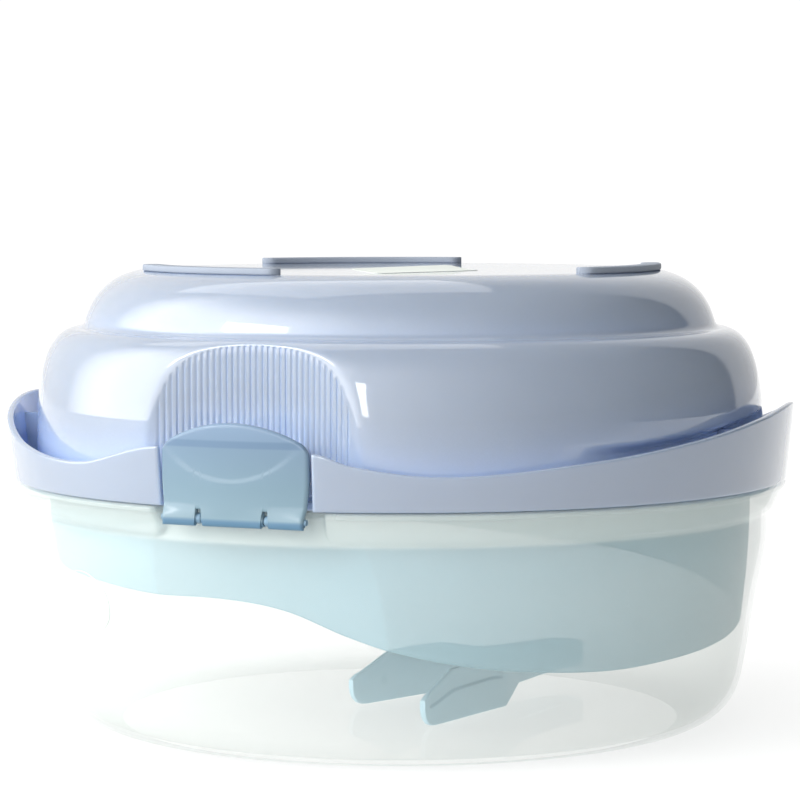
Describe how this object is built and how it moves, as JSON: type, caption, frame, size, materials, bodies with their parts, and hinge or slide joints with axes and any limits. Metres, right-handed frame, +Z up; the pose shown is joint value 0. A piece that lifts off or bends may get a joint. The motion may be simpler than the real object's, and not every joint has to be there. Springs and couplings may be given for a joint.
{
  "type": "bottle sterilizer",
  "caption": "Microwave steam steriliser for baby bottles, upside down on its clear domed lid, with a base tub, hinged clips, a slotted basket tray and tongs.",
  "frame": {"origin": "centre of the lid's flat face, on the surface that the part stands on", "axes": "+Z up with the part upside down, as pictured; -Y towards the front clip; +X to the right of the front clip"},
  "size_m": [0.2818, 0.279, 0.163],
  "materials": {
    "clear_lid": "clear, slightly frosted polypropylene",
    "lavender_base": "glossy pale lavender polypropylene",
    "blue_clip": "translucent blue, satin",
    "hinge_pin": "plain moulded plastic, because metal can't go in a microwave oven",
    "blue_tray": "translucent light blue, satin",
    "blue_tongs": "blue, satin",
    "foot": "satin, scuffed where it stands",
    "label": "blank sticker"
  },
  "bodies": {
    "lid": {"lid_bowl": "clear_lid", "front_clip_pin": "hinge_pin", "rear_clip_pin": "hinge_pin"},
    "base": {"base_tub": "lavender_base", "foot_strip_1": "foot", "foot_strip_2": "foot", "foot_strip_3": "foot", "base_sticker": "label"},
    "tray": {"basket_tray": "blue_tray"},
    "front_clip": {"front_clip": "blue_clip"},
    "rear_clip": {"rear_clip": "blue_clip"},
    "tongs": {"tongs_left_arm": "blue_tongs"},
    "tongs_arm": {"tongs_right_arm": "blue_tongs"}
  },
  "joints": [
    {"name": "base_lift", "type": "slide", "parent": "lid", "child": "base", "axis": [0, 0, 1], "range_m": [0, 0.24]},
    {"name": "tray_lift", "type": "slide", "parent": "lid", "child": "tray", "axis": [0, 0, 1], "range_m": [0, 0.12]},
    {"name": "tongs_lift", "type": "slide", "parent": "lid", "child": "tongs", "axis": [0, 0, 1], "range_m": [0, 0.05]},
    {"name": "front_clip_hinge", "type": "hinge", "parent": "lid", "child": "front_clip", "pos_m": [0, -0.1369, 0.084], "axis": [1, 0, 0], "range_deg": [0, 105]},
    {"name": "rear_clip_hinge", "type": "hinge", "parent": "lid", "child": "rear_clip", "pos_m": [0, 0.1369, 0.084], "axis": [-1, 0, 0], "range_deg": [0, 105]},
    {"name": "tongs_squeeze", "type": "hinge", "parent": "tongs", "child": "tongs_arm", "pos_m": [0.03565, 0.08377, 0.013], "axis": [0, 0, -1], "range_deg": [0, 18], "stiffness_Nm_per_rad": 0.4}
  ],
  "couplings": [
    {"joint": "tray_lift", "follows": "base_lift", "ratio": 0.5}
  ]
}
